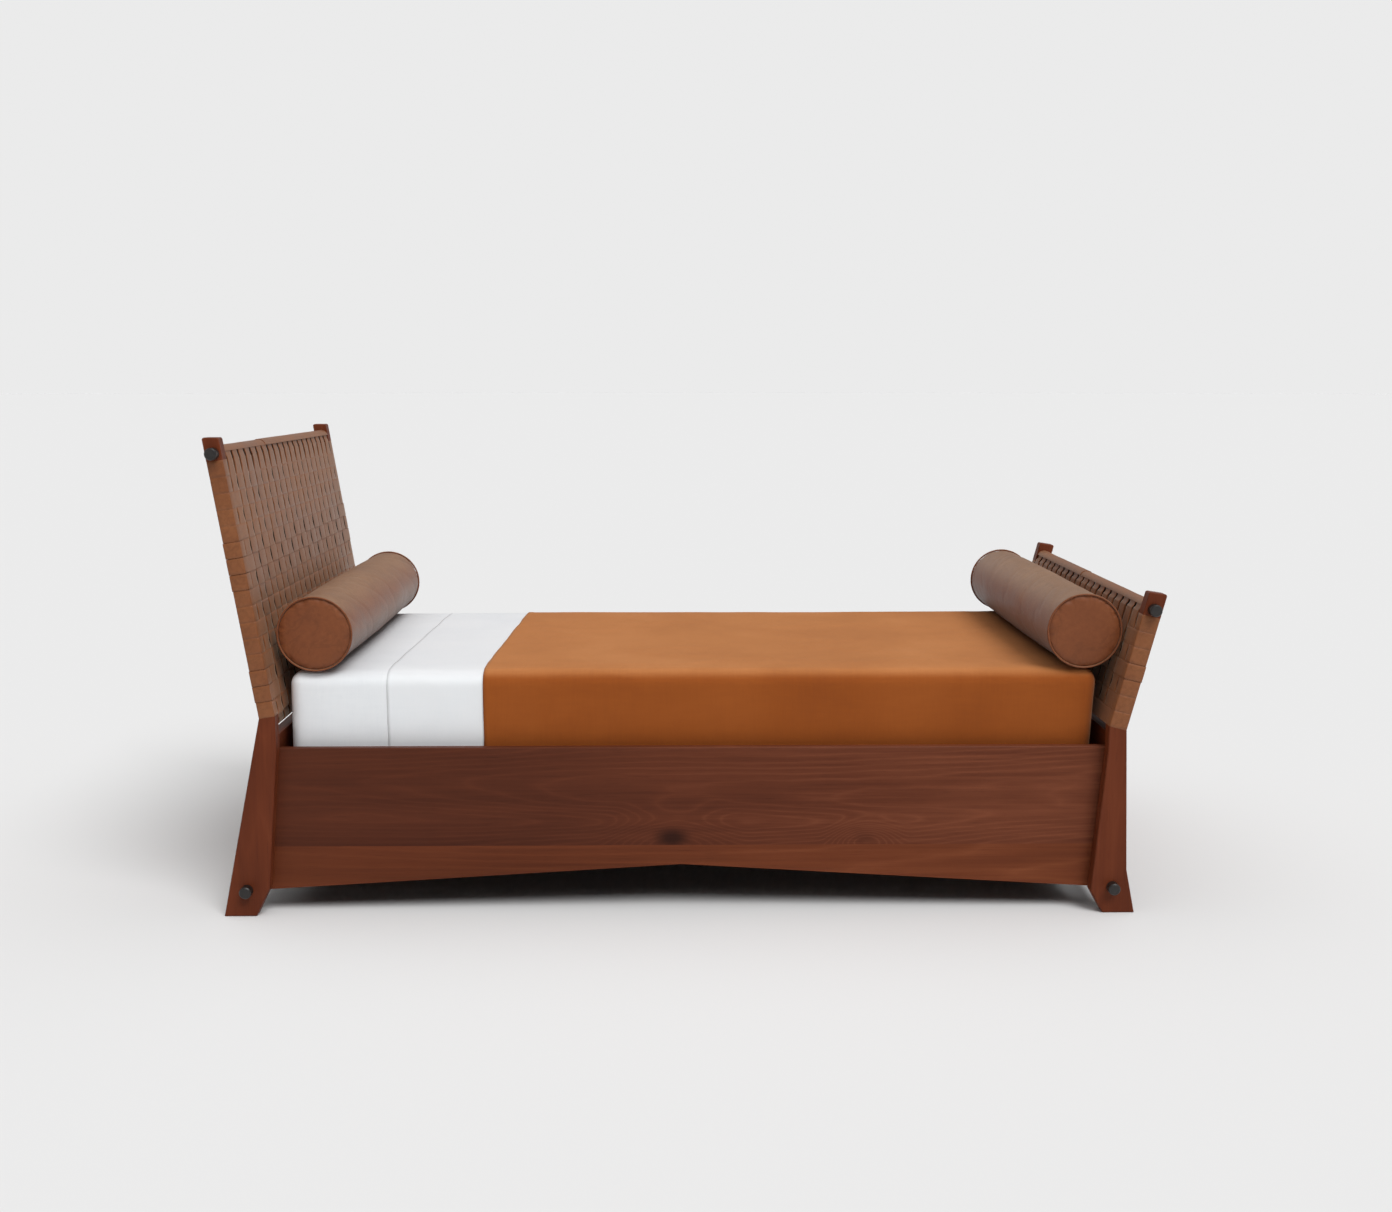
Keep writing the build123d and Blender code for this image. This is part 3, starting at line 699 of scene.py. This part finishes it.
def make_wefts(panel, material, dark):
    unevenness, ease = 0.00012, 0.08
    verts, faces, shade = [], [], []
    count = 0
    for row in range(panel.rows):
        loop, deep = weft_loop(panel, row)
        normal = outward_of(loop)
        path = panel.place((row + 0.5) * panel.pitch, loop[:, 1], loop[:, 0])
        outward = normal[:, 1:] * panel.out + normal[:, :1] * np.array([0, 1.0, 0])
        wobble = unevenness * noises((p[1] * 3, row * 1.7, 5) for p in path)
        path = path + wobble[:, None] * panel.up
        width = panel.pitch - (STEP_GAP if row in panel.stepped else 0.0)
        points, quads = loop_strap(path, outward, panel.up, width, ease)
        faces += [tuple(count + k for k in quad) for quad in quads]
        verts.append(points)
        shade.append((deep[:, None] * SECTION_SHADE[None, :]).ravel())
        count += len(points)
    name = panel.name + "_weave_crosswise"
    piece = add_piece(name, np.vstack(verts), faces, material, SHARP_ANGLE)
    return shaded(piece, np.concatenate(shade), dark)


def shaded(piece, values, dark=None):
    """Keeps each point's painted shade, and gives the most shaded faces a near-black finish: painted
    shade in the weave's gaps.
    """
    deepest = 0.85
    layer = piece.data.attributes.new("shade", "FLOAT", "POINT")
    layer.data.foreach_set("value", np.asarray(values, np.float32))
    if dark:
        piece.data.materials.append(dark)
        for face in piece.data.polygons:
            if min(values[k] for k in face.vertices) > deepest:
                face.material_index = 1
    return piece


def warp_face(panel, column, face):
    """Stations up one face of an upright strap: (u, depth from the panel's middle), and shade."""
    woven = [row for row in range(panel.rows) if panel.over(row, column, face) < 0
             or (row * panel.pitch >= panel.low_u)]
    first, last = min(woven), max(woven)
    edges = panel.pitch * np.arange(first, last + 2)
    signs = [-1] + [-panel.over(row, column, face) for row in range(first, last + 1)] + [1]
    edges = edges + WARP_SHIFT * np.sign(np.array(signs[:-1]) - np.array(signs[1:]))
    u, sign = steps(edges, signs, WARP_RAMP)
    inset, top_run, low_run, top_slack = 0.0002, 0.006, 0.004, 0.0006
    low_shade, most_shade = 0.7, 0.4
    drop = WEAVE_DEPTH * (1 - sign)
    flats = panel.half - STRAP_THICK / 2 - inset - drop
    u = np.concatenate([[panel.low_u], u, [panel.top_u - top_run, panel.top_u]])
    keep = u[1:-1] > panel.low_u + low_run
    v = np.concatenate([[ROD_LOOP], flats, [ROD_LOOP + top_slack, ROD_LOOP]])
    deep = np.clip(drop / WEAVE_DEPTH - 1.0, 0, most_shade)
    deep = np.concatenate([[low_shade], deep, [0, 0]])
    mask = np.concatenate([[True], keep, [True]])
    order = np.argsort(u[mask])
    return u[mask][order], v[mask][order], deep[mask][order]


def warp_width(panel, column, us):
    """An upright strap narrows inside each row, by an uneven amount, and stays narrow from the
    top row's middle on, over the rod."""
    at_edges, inside, unevenness = 0.04, 1.10, 0.70  # shares of the gap
    share = np.abs(np.sin(math.pi * us / panel.pitch)) ** 0.7
    share = np.where(us > (panel.rows - 0.6) * panel.pitch, 1.0, share)
    odd = noises((u / panel.pitch * 1.3, column * 1.9, 3) for u in us)
    return panel.column - WARP_GAP * (at_edges + (inside + unevenness * odd) * share)


def make_warps(panel, material):
    unevenness, low_shade = 0.0008, 0.3
    verts, faces, shade = [], [], []
    count = 0
    angles = np.linspace(math.pi, 0, 9)[1:-1]
    for column in range(WARP_COUNT):
        y = -panel.clear + (column + 0.5) * panel.column
        u_in, v_in, deep_in = warp_face(panel, column, 0)
        u_out, v_out, deep_out = warp_face(panel, column, 1)
        top = [(ROD_LOOP * math.cos(a), panel.top_u + ROD_LOOP * math.sin(a)) for a in angles]
        low = [(ROD_LOOP * math.cos(a), panel.low_u - ROD_LOOP * math.sin(a)) for a in angles[::-1]]
        loop = np.array([*zip(-v_in, u_in), *top, *zip(v_out[::-1], u_out[::-1]), *low])
        deep = [deep_in, np.zeros(len(top)), deep_out[::-1], np.full(len(low), low_shade)]
        normal = -outward_of(loop)
        sway = unevenness * noises((u * 4, column * 2.3, 9) for _, u in loop)
        path = panel.place(loop[:, 1], loop[:, 0], y + sway)
        outward = normal[:, 1:] * panel.up + normal[:, :1] * panel.out
        width = warp_width(panel, column, loop[:, 1])
        points, quads = loop_strap(path, outward, np.array([0, 1.0, 0]), width)
        faces += [tuple(count + k for k in quad[::-1]) for quad in quads]
        verts.append(points)
        shade.append(np.repeat(np.concatenate(deep), len(points) // len(path)))
        count += len(points)
    name = panel.name + "_weave_upright"
    piece = add_piece(name, np.vstack(verts), faces, material, SHARP_ANGLE)
    return shaded(piece, np.concatenate(shade))


def make_roll(panel, name, y_low, y_high, lift, material):
    """Leather sleeve rolled over the top rod and the straps on it, open below."""
    unevenness = 0.00035
    angles = np.radians(np.linspace(6, 174, 24))
    ys = np.linspace(y_low, y_high, 60)
    verts = []
    for skin, radius in enumerate((ROLL_RADIUS + lift, ROLL_RADIUS + lift - ROLL_THICK)):
        for y in ys:
            swell = unevenness * noise.noise(Vector((y * 9, lift * 900, 2 + skin)))
            ring = (radius + swell) * np.stack([np.cos(angles), np.sin(angles)], 1)
            verts.append(panel.place(panel.top_u + ring[:, 1], ring[:, 0], y))
    n, m = len(ys), len(angles)
    faces = grid_faces(n, m) + [f[::-1] for f in grid_faces(n, m, start=n * m)]
    for r in range(n - 1):
        for c in (0, m - 1):
            rim = (r * m + c, (r + 1) * m + c, (n + r + 1) * m + c, (n + r) * m + c)
            faces.append(rim if c else rim[::-1])
    for c in range(m - 1):
        for r in (0, n - 1):
            rim = (r * m + c, (n + r) * m + c, (n + r) * m + c + 1, r * m + c + 1)
            faces.append(rim if r else rim[::-1])
    piece = add_piece(name, np.vstack(verts), faces, material, SHARP_ANGLE)
    tidy_normals(piece)
    shaded(piece, np.zeros(len(piece.data.vertices)))
    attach(piece, "bed_frame")


def make_panel(name, material, dark):
    panel = Panel(name)
    wefts, warps = make_wefts(panel, material, dark), make_warps(panel, material)
    for piece, node in ((wefts, "_weft_straps"), (warps, "_warp_straps")):
        tidy_normals(piece)
        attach(piece, "bed_frame")
        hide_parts(name + node)
    end, overlap, lift = panel.clear - 0.0012, 0.012, 0.0014
    make_roll(panel, name + "_roll_front", -end, panel.joint, 0.0, material)
    make_roll(panel, name + "_roll_rear", panel.joint - overlap, end, lift, material)


# ---------------------------------------------------------------- mattress and bedding
def lines(*stops):
    """Grid lines through the stops, each gap split into steps of its own size."""
    out = []
    for (start, step), (stop, _) in zip(stops, stops[1:]):
        count = max(1, round((stop - start) / step))
        out += [start + (stop - start) * k / count for k in range(count)]
    return np.array(out + [stops[-1][0]])


def block_faces(grids):
    """Points and quads of a closed box net over three lists of grid lines."""
    index, verts, faces = {}, [], []
    last = [len(grid) - 1 for grid in grids]
    for axis, first, second, low_flips in ((2, 0, 1, True), (1, 0, 2, False), (0, 1, 2, True)):
        for p in range(last[first]):
            for q in range(last[second]):
                for at, flip in ((0, low_flips), (last[axis], not low_flips)):
                    quad = []
                    for step_p, step_q in ((0, 0), (1, 0), (1, 1), (0, 1)):
                        spot = [at, at, at]
                        spot[first], spot[second] = p + step_p, q + step_q
                        spot = tuple(spot)
                        if spot not in index:
                            index[spot] = len(verts)
                            verts.append([grid[k] for grid, k in zip(grids, spot)])
                        quad.append(index[spot])
                    faces.append(tuple(quad[::-1] if flip else quad))
    return np.array(verts), faces


def rounded_block(xs, ys, zs, upright, edge):
    """Closed net over a box with rounded upright corners and rounded top and bottom edges."""
    points, faces = block_faces((xs, ys, zs))
    lo = np.array([xs[0], ys[0], zs[0]])
    hi = np.array([xs[-1], ys[-1], zs[-1]])
    flat = points[:, :2]
    inner = np.clip(flat, lo[:2] + upright, hi[:2] - upright)
    away = flat - inner
    reach = np.max(np.abs(away), axis=1, keepdims=True)
    size = np.linalg.norm(away, axis=1, keepdims=True)
    points[:, :2] = inner + away / np.maximum(size, TINY) * reach
    return round_edges(points, lo, hi, upright, edge), faces


def round_edges(points, lo, hi, upright, edge):
    """Pulls the top and bottom rims of the block in to a rounded edge."""
    middle = np.clip(points[:, :2], lo[:2] + upright, hi[:2] - upright)
    away = points[:, :2] - middle
    radial = np.linalg.norm(away, axis=1)
    to_walls = np.concatenate([points[:, :2] - lo[:2], hi[:2] - points[:, :2]], 1)
    inside = np.min(to_walls, axis=1)
    depth_in = np.where(radial > TINY, upright - radial, inside)
    depth_in = np.clip(np.minimum(depth_in, inside + upright), 0, None)
    height_in = np.minimum(points[:, 2] - lo[2], hi[2] - points[:, 2])
    a = np.clip(edge - depth_in, 0, None)
    b = np.clip(edge - height_in, 0, None)
    size = np.hypot(a, b)
    pull = np.where(size > TINY, np.maximum(a, b) / np.maximum(size, TINY), 1.0)
    ways = np.array([(1, 0), (0, 1), (-1, 0), (0, -1)], float)
    off_wall = ways[np.argmin(to_walls, axis=1)]
    off_corner = -away / np.maximum(radial[:, None], TINY)
    toward = np.where(radial[:, None] > TINY, off_corner, off_wall)
    down = np.where(points[:, 2] > (lo[2] + hi[2]) / 2, -1.0, 1.0)
    points[:, :2] += toward * (a - a * pull)[:, None]
    points[:, 2] += down * (b - b * pull)
    return points


def bed_form(lo, hi):
    """The mattress, a little smaller than its box, with its foot end leaning in below."""
    slack, foot_slack, top_slack = 0.005, 0.002, 0.0025
    fine, broad, rim, low_rim = 0.007, 0.0165, 0.05, 0.03
    starts = [(lo[0] + start, broad) for _, _, start, *_ in SHEETS if start > 0]
    xs = lines((lo[0] + slack, fine), (lo[0] + rim, broad), *starts,
               (hi[0] - rim, fine), (hi[0] - foot_slack, fine))
    ys = lines((lo[1] + slack, fine), (lo[1] + rim, broad), (hi[1] - rim, fine), (hi[1] - slack, fine))
    zs = lines((lo[2], fine), (lo[2] + low_rim, broad), (hi[2] - rim, fine), (hi[2] - top_slack, fine))
    points, faces = rounded_block(xs, ys, zs, upright=0.028, edge=0.030)
    lean, stretch = math.tan(math.radians(3.2)), 0.3
    share = np.clip((points[:, 0] - hi[0] + stretch) / stretch, 0, 1)
    points[:, 0] -= share * (hi[2] - points[:, 2]) * lean
    return points, faces


def make_bedding(mats):
    lo, hi = (np.array(v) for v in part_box("mattress"))
    plan, faces = bed_form(lo, hi)
    bed = add_piece("mattress_pad", plan, faces, mats["ticking"])
    inflate(bed, pressure=4.0, cap=0.006)
    swollen, most_rise = points_of(bed), 0.0005
    swollen[:, 2] = np.clip(swollen[:, 2], lo[2], hi[2] + most_rise)
    put_points(bed, swollen)
    for name, node, from_head, inner, thick, mat in SHEETS:
        start = lo[0] + from_head
        piece = lay_sheet(name, bed, plan, start, lo, inner, thick, mats[mat])
        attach(piece, "mattress")
        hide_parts(node)
    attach(bed, "mattress")
    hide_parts("mattress")


def lay_sheet(name, bed, plan, start, lo, inner, thick, material):
    """A layer over the swollen mattress, from a place to the foot end, open underneath. The
    plan holds the mattress's points before it swelled."""
    swollen, normals = points_of(bed), normals_of(bed)
    kept = []
    for face in bed.data.polygons:
        corners = list(face.vertices)
        underside = max(plan[corners, 2]) < lo[2] + 1e-6
        above_hem = np.mean(swollen[corners, 2]) > lo[2] + HEM
        if min(plan[corners, 0]) > start - 1e-6 and above_hem and not underside:
            kept.append(corners)
    used = sorted({k for corners in kept for k in corners})
    renumber = {k: n for n, k in enumerate(used)}
    slim = [tuple(renumber[k] for k in corners) for corners in kept]
    piece = add_piece(name, swollen[used] + normals[used] * inner, slim, material)
    refine(piece)
    ruffle(piece, start, lo, inner)
    body = piece.modifiers.new("cloth", "SOLIDIFY")
    body.thickness = thick
    body.offset = 1.0
    settle(piece)
    make_smooth(piece.data)
    return piece


def ruffle(piece, start, lo, inner):
    """Soft wrinkles, the coverlet's thicker hem and the slightly crooked edge of a sheet laid
    by hand."""
    seed, clearance, loose_length = BEDDING_SEED, 0.0006, 0.15
    hem_width, hem_rise = 0.016, 0.0 if inner < 0.002 else 0.0007
    half_width, crooked, crooked_length = 0.48, 0.012, 0.25
    points, normals = points_of(piece), normals_of(piece)
    for k, p in enumerate(points):
        wide = fbm(p, (1.5, 2.2, 4.0), seed, 3)
        ridge = 1 - abs(fbm(p, (2.6, 5.5, 3.0), seed + 31, 2)) * 2.6
        small = fbm(p, (14, 9, 16), seed + 57, 2)
        lift = 0.0011 * wide + 0.0009 * max(0.0, ridge) ** 3 + 0.00015 * small
        if start > lo[0]:
            loose = min(1.0, max(0.0, (p[0] - start) / loose_length))
            lift += 0.0006 * loose * max(0.0, fbm(p, (3.1, 7, 5), seed + inner * 9000, 3))
        points[k] += normals[k] * (lift + clearance)
        if start > lo[0]:
            from_edge = p[0] - start
            if from_edge < hem_width:
                points[k] += normals[k] * hem_rise
            skew = crooked * (p[1] / half_width) + 0.0016 * fbm(p, (0, 7, 7), seed + 3, 2)
            points[k][0] += skew * math.exp(-max(0.0, from_edge) / crooked_length)
    put_points(piece, points)


# ---------------------------------------------------------------- bolsters
def bolster_net(centre, radius, reach):
    """A drum along Y with rounded rims, a little smaller than its box, closed by two hubs."""
    around, along = 112, 128
    slack, end_slack, bend = 0.0026, 0.0015, 0.006
    profile = [(s * (radius - bend - slack), 0.0) for s in (0.18, 0.4, 0.62, 0.82, 0.93, 1.0)]
    for a in np.linspace(0, math.pi / 2, 5)[1:]:
        profile.append((radius - slack - bend + bend * math.sin(a), bend - bend * math.cos(a)))
    cap = [(r, -reach + end_slack + d) for r, d in profile]
    middle = np.linspace(-reach + end_slack + bend, reach - end_slack - bend, along)[1:-1]
    rings = cap + [(radius - slack, y) for y in middle] + [(r, -y) for r, y in cap[::-1]]
    verts = []
    for r, y in rings:
        for k in range(around):
            a = 2 * math.pi * k / around
            verts.append((centre[0] + r * math.cos(a), centre[1] + y, centre[2] + r * math.sin(a)))
    faces = grid_faces(len(rings), around, False, True)
    for ring, flip in ((0, True), (len(rings) - 1, False)):
        hub = len(verts)
        verts.append((centre[0], centre[1] + rings[ring][1], centre[2]))
        for k in range(around):
            tri = (ring * around + k, ring * around + (k + 1) % around, hub)
            faces.append(tri[::-1] if flip else tri)
    return verts, faces


def make_bolster(end, mats, seed):
    lo, hi = (np.array(v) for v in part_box(end + "_bolster_cover"))
    centre = (lo + hi) / 2
    radius, reach = (hi[2] - lo[2]) / 2, (hi[1] - lo[1]) / 2
    piece = add_piece(end + "_bolster", *bolster_net(centre, radius, reach), mats["bolster"])
    tidy_normals(piece)
    inflate(piece, pressure=4.0, cap=0.0036)
    points, flat_end = points_of(piece), reach - 0.0008
    points[:, 1] = np.clip(points[:, 1], centre[1] - flat_end, centre[1] + flat_end)
    put_points(piece, points)
    crease_bolster(piece, centre, reach, seed)
    refine(piece)
    points, lowest = points_of(piece), lo[2] + 0.0004
    points[:, 2] = np.maximum(points[:, 2], lowest)
    put_points(piece, points)
    make_smooth(piece.data)
    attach(piece, end + "_bolster")
    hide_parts(*[f"{end}_bolster_{part}" for part in ("cover", "ends", "fill")])
    welt_y, welt_radius = reach - 0.0035, radius - 0.0030
    for side, label in ((-1, "front"), (1, "rear")):
        make_welt(end, label, centre, side * welt_y, welt_radius, mats)


def crease_bolster(piece, centre, reach, seed):
    """Puckers near the sewn ends, a few slack ripples round the cover and a slight crown."""
    puckers, pucker_length, pucker_height = 46, 0.022, 0.00045
    crown, sink, ripple_height, fold_depth, slack = 0.0028, 0.0012, 0.0007, 0.0009, 0.0004
    points, normals = points_of(piece), normals_of(piece)
    for k, p in enumerate(points):
        y = p[1] - centre[1]
        angle = math.atan2(p[2] - centre[2], p[0] - centre[0])
        off = math.hypot(p[2] - centre[2], p[0] - centre[0])
        near_end = math.exp(-max(0.0, reach - abs(y)) / pucker_length)
        on_side = min(1.0, max(0.0, (off - 0.06) / 0.02))
        wave = math.sin(angle * puckers + 2 * math.sin(angle * 7 + seed))
        pucker = pucker_height * near_end * wave * on_side
        ripple = ripple_height * fbm((angle * 1.1 + y * 5, y, 0), (1.0, 2.2, 0), seed, 2)
        fold = 1 - abs(fbm((angle * 0.9 + y * 7, y, 0), (1.0, 3.0, 0), seed + 40, 2)) * 3.0
        ripple -= fold_depth * max(0.0, fold) ** 4
        ripple += crown * (1 - (y / reach) ** 2) - sink
        points[k] += normals[k] * (pucker + ripple * on_side - slack)
    put_points(piece, points)


def make_welt(end, label, centre, y, radius, mats):
    """The piped seam round the end of a bolster."""
    around, ring, cord, stitches = 144, 10, 0.0023, 90
    verts = []
    for k in range(around):
        a = 2 * math.pi * k / around
        for m in range(ring):
            b = 2 * math.pi * m / ring
            r = radius + cord * math.cos(b) * (1 + 0.05 * math.sin(a * stitches))
            verts.append((centre[0] + r * math.cos(a), centre[1] + y + cord * math.sin(b),
                          centre[2] + r * math.sin(a)))
    faces = grid_faces(around, ring, True, True)
    piece = add_piece(f"{end}_bolster_piping_{label}", verts, faces, mats["bolster"])
    tidy_normals(piece)
    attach(piece, end + "_bolster")


make_camera()
make_world()
make_sun("soft_front", toward=(-0.34, 0.54, -0.82), spread=32, strength=1.84)
make_floor()
mats = make_materials()
dress_cad(mats)
for end_name in ENDS:
    make_panel(end_name, mats["strap"], mats["painted_gap_shade"])
make_bedding(mats)
make_bolster("head", mats, 1.3)
make_bolster("foot", mats, 6.1)
